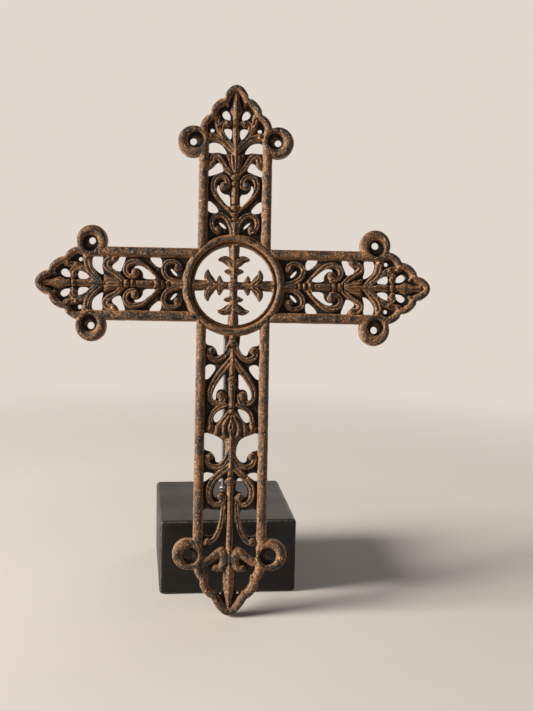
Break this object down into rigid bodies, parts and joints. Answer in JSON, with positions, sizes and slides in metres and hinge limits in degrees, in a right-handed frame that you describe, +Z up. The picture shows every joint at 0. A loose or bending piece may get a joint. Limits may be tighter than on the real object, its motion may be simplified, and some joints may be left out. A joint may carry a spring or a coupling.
{
  "type": "cast iron openwork cross on a stand",
  "caption": "Cast iron openwork grave cross with scrolls, a centre ring and lobed tips, leaning on a steel rod that rises from a black wood block.",
  "frame": {"origin": "middle of the wood block's underside, on the surface that the part stands on", "axes": "+Z up, the front of the cross faces -Y, +X to the viewer's right"},
  "size_m": [0.305, 0.1774, 0.4039],
  "materials": {
    "iron": "old black paint over brown rust, rubbed along the high edges",
    "black_wood": "satin black paint, worn along the edges",
    "steel": "dull grey drawn steel",
    "rubber": "matt"
  },
  "bodies": {
    "root": {"cross": "iron", "block": "black_wood", "rod": "steel", "washer": "steel", "nut_lower": "steel", "nut_upper": "steel", "pad": "rubber"}
  },
  "joints": []
}
